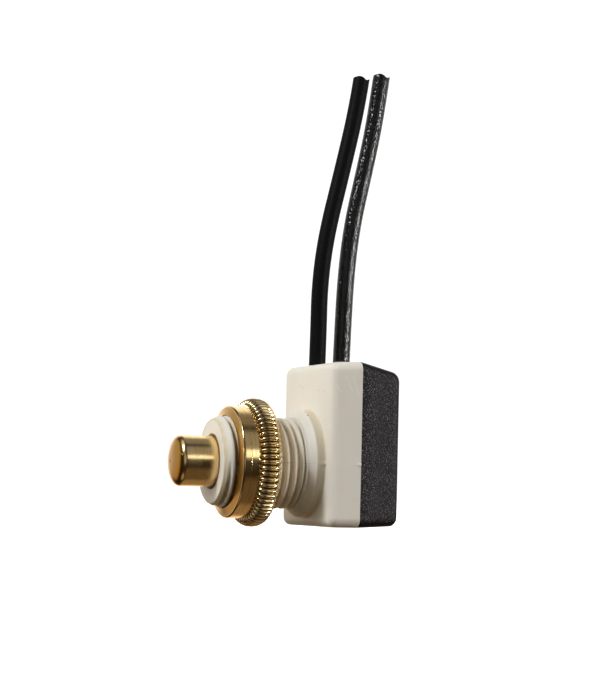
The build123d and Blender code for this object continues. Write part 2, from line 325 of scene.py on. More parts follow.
def cut_slots(piece, half_spacing, slot_y, radius, low, high):
    """Cuts the leads' slots, round at the bottom and open to the joint plane, out of the top wall."""
    outline = [(radius, joint_y + wall)]
    for i in range(slot_sides + 1):
        bend = -pi * i / slot_sides
        outline.append((radius * cos(bend), slot_y + radius * sin(bend)))
    outline.append((-radius, joint_y + wall))
    for side in (-1, 1):
        shape = bmesh.new()
        for z in (low, high):
            for x, y in outline:
                shape.verts.new(Vector((side * half_spacing + x, y, z)) * mm)
        corners = list(shape.verts)
        count = len(outline)
        shape.faces.new(corners[:count])
        shape.faces.new(corners[count:])
        for i in range(count):
            after = (i + 1) % count
            shape.faces.new((corners[i], corners[after], corners[count + after], corners[count + i]))
        bmesh.ops.recalc_face_normals(shape, faces=shape.faces)
        cutter = shaped_piece("slot_cutter", shape)
        cut = piece.modifiers.new("slot", "BOOLEAN")
        cut.operation = "DIFFERENCE"
        cut.solver = "EXACT"
        cut.object = cutter
        bpy.context.view_layer.update()
        shown = piece.evaluated_get(bpy.context.evaluated_depsgraph_get())
        cut_mesh = bpy.data.meshes.new_from_object(shown)
        piece.modifiers.clear()
        piece.data = cut_mesh
        bpy.data.objects.remove(cutter)


rib_edge = rib_half_width / bore_radius
fine_steps = (*parting_steps, rib_edge, rib_edge + rib_side_step)
fine_angles = [side * step for side in (1, -1) for step in fine_steps]
housing_angles = turn_angles(fine_angles + [pi + angle for angle in fine_angles])
housing_columns = [housing_column(angle) for angle in housing_angles]
gate_nub(housing_columns, (boss_radius + edge_break, face_y - edge_break, 0), boss_nub)
gate_nub(housing_columns, (half_width, joint_y - edge_break, joint_nub_z), joint_nub)
housing = skin("ivory_housing", housing_columns)
cut_slots(housing, lead_half_spacing, lead_exit_y, slot_radius, body_top - slot_depth, body_top + wall)
soften(housing, sharp_from=38)


class Signal:
    """A socket in a finish's nodes. Arithmetic on it adds the nodes that work the value out."""

    def __init__(self, tree, socket=None):
        self.tree = tree
        self.socket = socket

    def node(self, kind, settings=None, sockets=None, out=0):
        made = self.tree.nodes.new("ShaderNode" + kind)
        for name, value in (settings or {}).items():
            setattr(made, name, value)
        for key, value in (sockets or {}).items():
            if isinstance(value, Signal):
                self.tree.links.new(value.socket, made.inputs[key])
            else:
                made.inputs[key].default_value = value
        return Signal(self.tree, made.outputs[out])

    def also(self, out):
        """Another output of the node that this signal comes from."""
        return Signal(self.tree, self.socket.node.outputs[out])

    def math(self, operation, *values):
        return self.node("Math", {"operation": operation}, dict(enumerate(values)))

    def __add__(self, other):
        return self.math("ADD", self, other)

    __radd__ = __add__

    def __sub__(self, other):
        return self.math("SUBTRACT", self, other)

    def __rsub__(self, other):
        return self.math("SUBTRACT", other, self)

    def __mul__(self, other):
        return self.math("MULTIPLY", self, other)

    __rmul__ = __mul__

    def __truediv__(self, other):
        return self.math("DIVIDE", self, other)

    def __pow__(self, other):
        return self.math("POWER", self, other)

    def __abs__(self):
        return self.math("ABSOLUTE", self)

    def larger(self, other):
        return self.math("MAXIMUM", self, other)

    def step(self, low, high):
        """0 below low, 1 above high and smooth between; with low above high it runs the other way."""
        flipped = low > high
        ends = {1: min(low, high), 2: max(low, high), 3: float(flipped), 4: float(not flipped)}
        return self.node("MapRange", {"interpolation_type": "SMOOTHSTEP"}, {0: self, **ends})

    def between(self, plain, other):
        """A colour that goes from plain to other as this signal goes from 0 to 1."""
        plain = plain if isinstance(plain, Signal) else (*plain, 1)
        other = other if isinstance(other, Signal) else (*other, 1)
        return self.node("Mix", {"data_type": "RGBA"}, {0: self, 6: plain, 7: other}, 2)

    def scaled(self, amount):
        return self.node("VectorMath", {"operation": "SCALE"}, {0: self, 3: amount})

    def times(self, amounts):
        return self.node("VectorMath", {"operation": "MULTIPLY"}, {0: self, 1: amounts})

    def axes(self):
        split = self.node("SeparateXYZ", None, {0: self})
        return split, split.also(1), split.also(2)

    def joined(self, y, z):
        return self.node("CombineXYZ", None, {0: self, 1: y, 2: z})

    def noise(self, scale, detail=2.0, roughness=0.5):
        sockets = {"Vector": self, "Scale": scale, "Detail": detail, "Roughness": roughness}
        return self.node("TexNoise", None, sockets)

    def cells(self, scale):
        """Distance to the nearest of scattered points; its Color output is that point's random colour."""
        return self.node("TexVoronoi", None, {"Vector": self, "Scale": scale})

    def raised(self, distance, normal=None):
        """A bump of this height in metres, over another bump where one is given."""
        sockets = {"Height": self, "Distance": distance, "Strength": 1.0}
        if normal:
            sockets["Normal"] = normal
        return self.node("Bump", None, sockets)


def new_finish(name, fixed):
    """A material with its constant values set, and the place on the piece in mm as a signal."""
    material = bpy.data.materials.new(name)
    material.use_nodes = True
    shader = material.node_tree.nodes["Principled BSDF"]
    for socket, value in fixed.items():
        shader.inputs[socket].default_value = value
    place = Signal(material.node_tree).node("TexCoord", out="Object")
    return material, place.scaled(1 / mm)


def feed(material, **signals):
    """Links signals to the shader's sockets, named with underscores for spaces."""
    shader = material.node_tree.nodes["Principled BSDF"]
    for name, signal in signals.items():
        material.node_tree.links.new(signal.socket, shader.inputs[name.replace("_", " ")])


def scratch(across, along, start, end, width):
    """A thin straight mark from start to end on a flat face, given the face's two coordinates."""
    run = Vector(end) - Vector(start)
    length = run.length
    run = run / length
    off_x = across - start[0]
    off_y = along - start[1]
    far = off_x * run[0] + off_y * run[1]
    aside = abs(off_y * run[0] - off_x * run[1])
    fade = 0.15 * length
    return aside.step(width, 0.3 * width) * far.step(0, fade) * far.step(length, length - fade)


# Specks are places with a size, and scratches run from a start to an end, all in mm.
dark_specks = ((2.88, 1.30, 5.88, 0.14), (3.59, 2.35, 8.93, 0.09), (5.38, 2.35, 8.82, 0.09))
side_scratches = (
    ((2.80, 9.42), (3.40, 8.60)),
    ((4.70, 10.90), (5.82, 7.90)),
    ((3.90, 10.60), (4.90, 8.50)),
)
front_scratch = ((-3.18, 9.98), (-1.39, 9.29))
side_scratch_width = 0.055
front_scratch_width = 0.045


def ivory_finish():
    """Satin moulded plastic: cloudy, with fine grain, specks and hair scratches, painted shade in the
    thread's grooves and on the boss's side, and a painted brass reflection in the grooves by the nut.
    """
    ivory = (0.800, 0.757, 0.675)
    cloud = (0.788, 0.742, 0.654)
    painted_shade_tan = (0.660, 0.530, 0.285)
    brass_reflection_tan = (0.400, 0.250, 0.090)
    line = (0.300, 0.235, 0.160)
    speck = (0.060, 0.050, 0.045)
    pale = (0.900, 0.880, 0.820)
    fixed = {"Specular IOR Level": 0.42, "Subsurface Weight": 0.12, "Subsurface Scale": 0.5 * mm}
    material, place = new_finish("satin_ivory", fixed)
    x, y, z = place.axes()
    radius = (x * x + z * z) ** 0.5
    mottle = place.noise(0.45, 3.0, 0.55).step(0.35, 0.7)
    colour = mottle.between(ivory, cloud)
    # Painted shade: the thread's grooves are tinted tan towards their roots, unevenly in patches.
    on_thread = y.step(0.35, 0.15) * radius.step(4.9, 5.0)
    depth = (thread_radius - radius).step(0.10, 0.5) * on_thread
    patches = place.noise(0.9, 2.0).step(0.25, 0.75)
    colour = (depth * (0.5 + 0.4 * patches)).between(colour, painted_shade_tan)
    # Painted shade: a tan tint on the boss's side.
    on_boss = y.step(1.2, 1.4) * radius.step(6.45, 6.5) * radius.step(6.85, 6.65)
    colour = (0.4 * on_boss).between(colour, painted_shade_tan)
    # Painted reflection: an orange-brown tint in the thread's grooves by the nut, for light bounced off the
    # brass.
    by_nut = y.step(-9.3, -8.6) * y.step(-3.0, -7.0)
    brass_reflection_mask = (thread_radius - radius).step(0.04, 0.3) * on_thread * by_nut * z.step(3.5, 0.5)
    colour = (brass_reflection_mask * (0.6 + 0.3 * patches)).between(colour, brass_reflection_tan)
    hair_run = y.step(-3.2, -2.9) * (0.35 + 0.65 * y.step(-0.6, -1.4)) * y.step(1.3, 1.1)
    hairline = abs(z).step(0.05, 0.015) * hair_run * place.noise(1.4).step(0.3, 0.55) * x.step(4.9, 5.0)
    colour = (0.6 * hairline).between(colour, line)
    for speck_x, speck_y, speck_z, size in dark_specks:
        off = ((x - speck_x) ** 2 + (y - speck_y) ** 2 + (z - speck_z) ** 2) ** 0.5
        colour = (0.9 * off.step(size, 0.5 * size)).between(colour, speck)
    on_side = x.step(7.6, 7.7)
    marks = None
    for start, end in side_scratches:
        mark = scratch(y, z, start, end, side_scratch_width) * on_side
        marks = mark if marks is None else marks.larger(mark)
    colour = (0.9 * marks).between(colour, pale)
    on_front = y.step(face_y + 0.1, face_y + 0.05) * radius.step(6.9, 7.0)
    hair = scratch(x, z, *front_scratch, front_scratch_width) * on_front
    colour = (0.45 * hair).between(colour, line)
    grain = place.noise(7.0, 3.0, 0.6)
    worn = place.noise(1.1, 3.0, 0.6)
    feed(material, Base_Color=colour, Roughness=0.42 + 0.14 * worn + 0.05 * grain)
    feed(material, Normal=(grain + 0.5 * marks).raised(0.012 * mm))
    return material


housing.data.materials.append(ivory_finish())
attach(housing, "body")
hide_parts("housing")

# Push button: a drawn and turned brass cap with a low dome.
# A flange behind the bushing's lip holds it in, and two keyways in the flange run on the bushing's ribs,
# so that it can't turn.
button_low, button_high = (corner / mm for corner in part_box("push_button"))
button_radius = 3.08
button_tip_y = button_low.y
button_dome = 1.15
button_rim_y = button_tip_y + button_dome
dome_fullness = 2.6
dome_rows = 36
side_rows = 11
button_sides = 160
button_wall = 0.45
flange_radius = button_high.z
flange_rear_y = button_high.y
flange_thickness = 0.5
flange_front_y = flange_rear_y - flange_thickness
keyway_room = 0.12
keyway_flat = rib_flat - keyway_room
keyway_half_width = rib_half_width + keyway_room
keyway_side_step = 0.001


def button_section():
    """(radius, y) points from the dome's top along the side, round the flange and back inside."""
    section = []
    for i in range(dome_rows + 1):
        share = sin(pi / 2 * i / dome_rows)
        rise = sqrt(1 - share**dome_fullness)
        section.append((button_radius * share, button_rim_y - button_dome * rise))
    side_length = flange_front_y - edge_break - button_rim_y
    for i in range(1, side_rows + 1):
        section.append((button_radius, button_rim_y + side_length * i / side_rows))
    section += [
        (button_radius + edge_break, flange_front_y),
        (flange_radius - edge_break, flange_front_y),
        (flange_radius, flange_front_y + edge_break),
        (flange_radius, flange_rear_y),
        (button_radius - button_wall, flange_rear_y),
        (button_radius - button_wall, button_rim_y + button_wall),
        (0, button_rim_y + button_wall),
    ]
    return section


def button_column(angle):
    in_keyway = abs(sin(angle)) * flange_radius < keyway_half_width
    column = []
    for radius, y in button_section():
        if in_keyway:
            radius = min(radius, keyway_flat / abs(cos(angle)))
        column.append(ring(angle, radius, y))
    return column


keyway_edge = keyway_half_width / flange_radius
button_angles = {2 * pi * i / button_sides for i in range(button_sides)}
for middle in (0, pi):
    for edge in (keyway_edge, keyway_edge + keyway_side_step):
        button_angles |= {(middle + edge) % (2 * pi), (middle - edge) % (2 * pi)}
button = skin("brass_button", [button_column(angle) for angle in sorted(button_angles) + [2 * pi]])
soften(button, sharp_from=38)

brass_gold = (0.880, 0.605, 0.250)
brass_deep = (0.660, 0.340, 0.055)
brass_pale = (0.930, 0.745, 0.420)
brass_dirt_and_shade = (0.100, 0.055, 0.020)
dome_stain = (-0.40, -0.10)
dome_nick = ((2.10, 1.00), (2.75, 0.62))
dome_nick_width = 0.07


def turned_lines(place, fineness):
    """Fine rings that a lathe tool leaves round the axis, as a signal from 0 to 1."""
    x, y, z = place.axes()
    radius = (x * x + z * z) ** 0.5
    round_x = x / (radius + 0.01) * 1.6
    round_z = z / (radius + 0.01) * 1.6
    return round_x.joined((y + radius) * fineness, round_z).noise(1.0, 3.0, 0.65)


def button_finish():
    """Satin brass: tool rings on the side, a deeper lacquered gold on the dome, a stain and a nick."""
    material, place = new_finish("turned_brass_button", {"Metallic": 1.0})
    x, y, z = place.axes()
    rings = turned_lines(place, 9.0)
    fine = turned_lines(place, 28.0)
    on_dome = y.step(button_rim_y - 0.35, button_rim_y - 0.6)
    colour = rings.step(0.35, 0.7).between(brass_gold, brass_pale)
    colour = (0.95 * on_dome).between(colour, brass_deep)
    stain = ((x - dome_stain[0]) ** 2 + (z - dome_stain[1]) ** 2).step(0.09, 0.01) * on_dome
    colour = (0.7 * stain).between(colour, brass_dirt_and_shade)
    nick = scratch(x, z, *dome_nick, dome_nick_width) * on_dome
    colour = (0.8 * nick).between(colour, brass_pale)
    smudge = place.noise(1.3, 3.0, 0.6)
    feed(material, Base_Color=colour)
    feed(material, Roughness=0.13 + 0.10 * smudge + 0.06 * fine)
    feed(material, Normal=(0.6 * fine + 0.4 * rings + nick).raised(0.007 * mm))
    return material


button.data.materials.append(button_finish())
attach(button, "button")
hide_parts("push_button")

# Plunger and index rotor: natural white plastic mouldings inside the bushing and the body.
# The plunger's fingers drive the rotor, which turns each push and return into a quarter turn.


def white_plastic_finish():
    """Unpainted moulded plastic, faintly cloudy."""
    white = (0.86, 0.85, 0.80)
    cloud = (0.80, 0.79, 0.73)
    fixed = {"Specular IOR Level": 0.45, "Subsurface Weight": 0.1}
    material, place = new_finish("natural_white_plastic", fixed)
    colour = place.noise(0.8, 2.0).step(0.3, 0.7).between(white, cloud)
    grain = place.noise(9.0, 2.0)
    feed(material, Base_Color=colour, Roughness=0.38 + 0.12 * grain, Normal=grain.raised(0.006 * mm))
    return material


def finish_nodes(material, *names):
    """Gives shown solids of the frame their finish."""
    for name in names:
        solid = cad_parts[name]
        solid.data.materials.clear()
        solid.data.materials.append(material)


finish_nodes(white_plastic_finish(), "plunger", "index_rotor")

# Springs: two coils of drawn steel wire, and the bowed leaf that holds the rotor after each push.
# The return spring shortens as the button goes in, and the rotor's lands press the leaf down as they pass.
spring_low, spring_high = (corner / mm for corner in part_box("return_spring"))
spring_wire = 0.5
spring_turns = 6
spring_end_turns = 0.75
turn_steps = 40
wire_sides = 12
leaf_low, leaf_high = (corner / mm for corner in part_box("index_spring"))
leaf_thickness = 0.22
leaf_foot = 1.4
leaf_nose_half = 0.714
leaf_nose_height = 0.5
leaf_blend = 0.25
leaf_edge = 0.03
leaf_steps = 40


def spring_ring(turn):
    """The wire's outline at this many turns from the front end, where the end turns lie flat."""
    angle = 2 * pi * turn
    share = max(0, min(1, (turn - spring_end_turns) / (spring_turns - 2 * spring_end_turns)))
    middle_y = spring_low.y + spring_wire / 2 + (spring_high.y - spring_low.y - spring_wire) * share
    points = []
    for i in range(wire_sides):
        bend = 2 * pi * i / wire_sides
        radius = spring_high.x - spring_wire / 2 * (1 - cos(bend))
        points.append(ring(angle, radius, middle_y + spring_wire / 2 * sin(bend)))
    return points


def capped(rings):
    """Rings with a point at each end, so that the skin closes there."""
    ends = []
    for points in (rings[0], rings[-1]):
        middle = sum((Vector(point) for point in points), Vector()) / len(points)
        ends.append([middle] * len(points))
    return [ends[0], *rings, ends[1]]


def leaf_height(x):
    """Upper side of the leaf: flat feet, slopes and a nose that sits in a notch of the rotor."""
    seat = leaf_low.z + leaf_thickness
    shoulder = leaf_high.z - leaf_nose_height
    knee = leaf_high.x - leaf_foot
    off = abs(x)
    if off > knee:
        return seat
    if off > leaf_nose_half:
        return seat + (shoulder - seat) * (knee - off) / (knee - leaf_nose_half)
    return leaf_high.z - leaf_nose_height * off / leaf_nose_half


def leaf_section(x):
    upper = sum(leaf_height(x + leaf_blend * step) for step in (-1, -0.5, 0, 0.5, 1)) / 5
    lower = upper - leaf_thickness
    front = leaf_low.y
    rear = leaf_high.y
    return [
        (x, front + leaf_edge, upper),
        (x, rear - leaf_edge, upper),
        (x, rear, upper - leaf_edge),
        (x, rear, lower + leaf_edge),
        (x, rear - leaf_edge, lower),
        (x, front + leaf_edge, lower),
        (x, front, lower + leaf_edge),
        (x, front, upper - leaf_edge),
    ]


def spring_steel_finish():
    """Drawn wire, brighter and darker in fine streaks."""
    bright = (0.56, 0.56, 0.57)
    dark = (0.42, 0.42, 0.44)
    material, place = new_finish("drawn_spring_steel", {"Metallic": 1.0})
    drawn = place.times((3.0, 14.0, 3.0)).noise(1.0, 3.0)
    colour = drawn.step(0.3, 0.7).between(bright, dark)
    feed(material, Base_Color=colour, Roughness=0.24 + 0.16 * drawn, Normal=drawn.raised(0.004 * mm))
    return material


steel_finish = spring_steel_finish()
spring_rings = [spring_ring(i / turn_steps) for i in range(spring_turns * turn_steps + 1)]
leaf_rings = [leaf_section(leaf_high.x * (i / leaf_steps - 1)) for i in range(2 * leaf_steps + 1)]
return_spring = skin("coiled_return_spring", capped(spring_rings))
index_leaf = skin("bowed_index_leaf", capped(leaf_rings))
for piece, node in ((return_spring, "return_spring"), (index_leaf, "index_spring")):
    soften(piece, sharp_from=50)
    piece.data.materials.append(steel_finish)
    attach(piece, "body")
    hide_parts(node)
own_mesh(return_spring)
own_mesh(index_leaf)
finish_nodes(steel_finish, "contact_spring")

# Contacts: a stamped brass bridge on the rotor and two stamped terminals on the cover's floor.
# Each contact has a riveted silver tip, and the leads' stripped copper ends lie on the terminals' tails.


def contact_finish(name, bright, dull, roughness):
    """Rolled metal with patches of tarnish."""
    material, place = new_finish(name, {"Metallic": 1.0})
    rolled = place.times((1.0, 1.0, 12.0)).noise(1.0, 3.0)
    tarnish = place.noise(1.5, 3.0, 0.6).step(0.4, 0.75)
    colour = (0.6 * tarnish).between(bright, dull)
    feed(material, Base_Color=colour, Roughness=roughness + 0.15 * rolled, Normal=rolled.raised(0.004 * mm))
    return material


strip_finish = contact_finish("stamped_brass_strip", (0.80, 0.62, 0.32), (0.52, 0.36, 0.16), 0.22)
silver_finish = contact_finish("silver_contact", (0.86, 0.85, 0.82), (0.60, 0.58, 0.54), 0.2)
copper_finish = contact_finish("bare_copper", (0.85, 0.47, 0.31), (0.48, 0.24, 0.14), 0.25)
finish_nodes(strip_finish, "contact_bridge", "fixed_contact_left", "fixed_contact_right")
finish_nodes(silver_finish, "bridge_tip_left", "bridge_tip_right", "contact_tip_left", "contact_tip_right")
finish_nodes(copper_finish, "conductor_left", "conductor_right")

# Leads: two lengths of stranded wire in black insulation, nipped off with side cutters.
# They come up out of the slots, lean back and end in a cut that dips to one side.
lead_radius = 1.05
core_radius = 0.56
core_recess = 0.25
cut_wave = 0.16
lead_sides = 40
line_resolution = 30
strand_count = 7
strand_sides = 12
strand_radius = core_radius / 3.05
left_route = [(5.00, 9.9), (5.12, 16.3), (5.14, 22.7), (5.90, 29.05)]
left_route += [(7.80, 37.1), (9.63, 45.3), (10.20, 49.3)]
right_route = [(5.00, 9.9), (5.16, 16.5), (5.45, 23.5), (6.14, 29.6)]
right_route += [(7.53, 36.0), (8.82, 42.3), (9.59, 48.1)]


def lead_line(side, route):
    """Points in mm along a smooth line that the route's (y, z) points steer."""
    curve = bpy.data.curves.new("lead_line", "CURVE")
    curve.dimensions = "3D"
    curve.resolution_u = line_resolution
    spline = curve.splines.new("NURBS")
    spline.points.add(len(route) - 1)
    for point, (y, z) in zip(spline.points, route):
        point.co = (side * lead_half_spacing, y, z, 1)
    spline.order_u = 3
    spline.use_endpoint_u = True
    holder = bpy.data.objects.new("lead_line", curve)
    line = bpy.data.meshes.new_from_object(holder)
    points = [vertex.co.copy() for vertex in line.vertices]
    bpy.data.objects.remove(holder)
    bpy.data.curves.remove(curve)
    bpy.data.meshes.remove(line)
    return points


def cut_height(along_y):
    """How far the nipped end stands up or dips, by the place across it."""
    share = max(-1, min(1, along_y / lead_radius))
    return -cut_wave * sin((1.5 if share > 0 else 1.0) * pi * share)


def lead_tube(name, line):
    """The insulation: rings along the line, a wavy cut face and a hole for the strands."""
    frames = []
    for i, point in enumerate(line):
        run = (line[min(i + 1, len(line) - 1)] - line[max(i - 1, 0)]).normalized()
        frames.append((point, run))
    across = Vector((1, 0, 0))
    end, end_run = frames[-1]
    cut_face = (
        (lead_radius, edge_break),
        (lead_radius - edge_break, 0),
        (core_radius, 0),
        (core_radius, core_recess),
        (0, core_recess),
    )
    columns = []
    for j in range(lead_sides + 1):
        angle = 2 * pi * j / lead_sides
        column = [line[0]]
        for point, run in frames[:-1]:
            out = across * cos(angle) + run.cross(across) * sin(angle)
            column.append(point + out * lead_radius)
        out = across * cos(angle) + end_run.cross(across) * sin(angle)
        for radius, sink in cut_face:
            spot = out * radius
            column.append(end + spot + end_run * (cut_height(spot.y) - sink))
        columns.append(column)
    return skin(name, columns)


def strand_ends(name, line):
    """Seven copper strands that show in the cut face, each a short rod with a rounded end."""
    end = line[-1]
    run = (line[-1] - line[-2]).normalized()
    across = Vector((1, 0, 0))
    up = run.cross(across)
    levels = (
        (strand_radius, -core_recess - 0.1),
        (strand_radius, -0.06),
        (0.8 * strand_radius, -0.015),
        (0.4 * strand_radius, 0.0),
    )
    shape = bmesh.new()
    for i in range(strand_count):
        middle = Vector()
        if i:
            middle = (across * cos(i * pi / 3) + up * sin(i * pi / 3)) * 2 * strand_radius
        rings = []
        for radius, height in levels:
            loop = []
            for j in range(strand_sides):
                turn = 2 * pi * j / strand_sides
                spot = middle + (across * cos(turn) + up * sin(turn)) * radius
                loop.append(shape.verts.new((end + spot + run * (height + cut_height(middle.y))) * mm))
            rings.append(loop)
        for lower, upper in zip(rings, rings[1:]):
            for j in range(strand_sides):
                after = (j + 1) % strand_sides
                shape.faces.new((lower[j], lower[after], upper[after], upper[j]))
        shape.faces.new(rings[0])
        shape.faces.new(rings[-1])
    bmesh.ops.recalc_face_normals(shape, faces=shape.faces)
    return shaped_piece(name, shape)


def insulation_finish(name, gloss, roughness, grain_height):
    """Extruded black insulation, slightly grainy, with dust."""
    black = (0.0045, 0.0045, 0.0050)
    mote = (0.25, 0.24, 0.23)
    material, place = new_finish(name, {"Specular IOR Level": gloss})
    grain = place.times((1.0, 1.0, 0.8)).noise(3.4, 2.0, 0.6)
    lumps = place.noise(1.2, 2.0)
    dust = place.cells(1.7)
    motes = dust.step(0.07, 0.03) * dust.also("Color").axes()[0].step(0.8, 0.85)
    colour = (0.35 * motes).between(black, mote)
    feed(material, Base_Color=colour, Roughness=roughness + 0.1 * lumps)
    feed(material, Normal=(grain + 0.4 * lumps).raised(grain_height * mm))
    return material


left_finish = insulation_finish("matt_black_insulation", gloss=0.08, roughness=0.45, grain_height=0.03)
right_finish = insulation_finish("grainy_black_insulation", gloss=0.5, roughness=0.09, grain_height=0.085)
for hand, side, route, finish in (
    ("left", -1, left_route, left_finish),
    ("right", 1, right_route, right_finish),
):
    line = lead_line(side, route)
    lead = lead_tube(f"insulated_lead_{hand}", line)
    soften(lead, sharp_from=50)
    lead.data.materials.append(finish)
    strands = strand_ends(f"copper_strands_{hand}", line)
    soften(strands, sharp_from=50)
    strands.data.materials.append(copper_finish)
    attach(strands, "body")
    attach(lead, "body")
    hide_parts(f"lead_{hand}")

# Rear cover: a black moulding that closes the back of the body and holds the contacts.
# Its top slopes down to the back, and a lip on its sides and bottom locates it inside the housing's wall.
cover_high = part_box("rear_cover")[1] / mm
back_y = cover_high.y
rear_round = 0.9
floor_y = back_y - wall
lip_height = 0.8
lip_inset = wall + 0.08
lip_wall = 0.6
lip_top = 7.2
pivot_boss_radius = 2.2
pivot_boss_height = 0.8
pivot_boss_y = floor_y - pivot_boss_height
pivot_hole_radius = 0.96
pivot_hole_floor = 0.6
pivot_hole_y = back_y - pivot_hole_floor


def cover_column(angle):
    place = outline_place(angle)
    side_end = back_y - rear_round
    column = [
        outline_point(place, joint_y, edge_break),
        outline_point(place, joint_y + round_middle * edge_break, round_middle * edge_break),
        outline_point(place, joint_y + edge_break),
    ]
    for share in (0.3, 0.6, 0.9):
        column.append(outline_point(place, joint_y + (side_end - joint_y) * share))
    for bend in bends(10):
        column.append(outline_point(place, side_end + rear_round * sin(bend), rear_round * (1 - cos(bend))))
    back_edge = Vector(column[-1])
    for share in (0.25, 0.5, 0.75, 1):
        column.append(back_edge.lerp(Vector((0, back_y, 0)), share))
    column += [
        (0, pivot_hole_y, 0),
        ring(angle, pivot_hole_radius, pivot_hole_y),
        ring(angle, pivot_hole_radius, pivot_boss_y),
        ring(angle, pivot_boss_radius, pivot_boss_y),
        ring(angle, pivot_boss_radius, floor_y),
        outline_point(place, floor_y, wall),
    ]
    below_leads = outline_point(place, joint_y, wall)[2] < lip_top
    if below_leads:
        column += [
            outline_point(place, joint_y + lip_height, wall),
            outline_point(place, joint_y + lip_height, lip_inset + lip_wall),
            outline_point(place, joint_y - lip_height, lip_inset + lip_wall),
            outline_point(place, joint_y - lip_height, lip_inset),
            outline_point(place, joint_y, lip_inset),
        ]
    else:
        column += [outline_point(place, joint_y + lip_height, wall)]
        column += [outline_point(place, joint_y, wall)] * 4
    return column


cover = skin("black_rear_cover", [cover_column(angle) for angle in turn_angles()])
soften(cover, sharp_from=38)


def black_cover_finish():
    """Matt black plastic with painted glints as fine pale specks on its flat faces, smoother and painted
    darker as shade where its edges are rounded.
    """
    black = (0.0080, 0.0068, 0.0080)
    grey = (0.0390, 0.0320, 0.0375)
    painted_glint = (0.600, 0.560, 0.590)
    material, place = new_finish("black_plastic_painted_glints", {"Specular IOR Level": 0.22})
    across, along, upward = (abs(axis) for axis in place.node("NewGeometry", out="Normal").axes())
    flat = across.larger(along).larger(upward).step(0.82, 0.93)
    grain = place.noise(5.5, 3.0, 0.75)
    # Painted shade: the grey grain fades to black on the rounded edges.
    colour = (grain.step(0.42, 0.68) * (0.25 + 0.75 * flat)).between(black, grey)
    # Painted glints: pale specks on the flat faces only, standing in for light caught by the grain.
    glint_layers = ((5.4, 0.40, 0.75), (7.6, 0.35, 0.75), (10.5, 0.30, 0.6))
    for scale, share, level in glint_layers:
        glint_cells = place.cells(scale)
        chance = glint_cells.also("Color").axes()[0]
        shown = glint_cells.step(0.34, 0.10) * chance.step(share, 1.0) * flat
        colour = (level * shown).between(colour, painted_glint)
    feed(material, Base_Color=colour, Roughness=0.46 + 0.16 * grain)
    feed(material, Normal=(grain * (0.2 + 0.8 * flat)).raised(0.03 * mm))
    return material


cover.data.materials.append(black_cover_finish())
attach(cover, "body")
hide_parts("rear_cover")

# Ring nut: turned from brass bar, with a plain polished collar in front and a crowned rim behind.
# The rim's coarse knurl is rolled in after turning, and the bore has a thread with room on the bushing's.
nut_low, nut_high = (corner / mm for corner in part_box("ring_nut"))
nut_face_stand = 0.52
nut_front_y = nut_low.y - nut_face_stand
nut_rear_y = nut_high.y
nut_bore = 5.60
nut_thread_depth = 0.34
nut_thread_fade = 0.35
nut_edge = 0.03
nut_face_fall = 0.26
collar_radius = 6.82
collar_round = 0.26
collar_line_y = nut_low.y + 0.74
rim_front_y = nut_low.y + 1.80
rim_gap = 0.05
rim_face_radius = 7.02
rim_rear_radius = 7.15
rim_radius = 7.8
rim_fullness = 2.2
rim_flatness = 0.55
rim_rows = 22
rear_face_radius = 6.4
nut_groove_stations = (0.385, 0.225, 0.075)
nut_turns = range(2, 10)
tooth_count = 66
tooth_columns = 12
tooth_depth = 0.36
tooth_root_limit = collar_radius + 0.06


def rim_crown(y):
    """Radius of the rim's rounded outside before the knurl is rolled in."""
    middle = (nut_rear_y + rim_front_y) / 2
    off = (y - middle) / (nut_rear_y - middle)
    edge = rim_rear_radius if off > 0 else rim_face_radius
    return edge + (rim_radius - edge) * max(0, 1 - abs(off) ** rim_fullness) ** rim_flatness


def rim_tooth(phase, y):
    """(radius, y) on the knurl: furrows cut square to the crown, so that the teeth run over its slopes."""
    reach = 0.01
    rise = (rim_crown(y + reach) - rim_crown(y - reach)) / (2 * reach)
    steep = sqrt(1 + rise * rise)
    from_crest = 2 * abs(phase - round(phase))
    sink = tooth_depth * (1 - cos(from_crest * pi / 2))
    return max(rim_crown(y) - sink / steep, tooth_root_limit), y + sink * rise / steep


def nut_thread(angle, y):
    turn = (-thread_offset - thread_pitch / 2 - y) / thread_pitch - angle / (2 * pi)
    off = abs(turn - round(turn)) * thread_pitch
    from_end = min(y - nut_front_y, nut_rear_y - y) - nut_edge
    fade = max(0, min(1, from_end / nut_thread_fade))
    return nut_bore + nut_thread_depth * groove_share(off) * fade


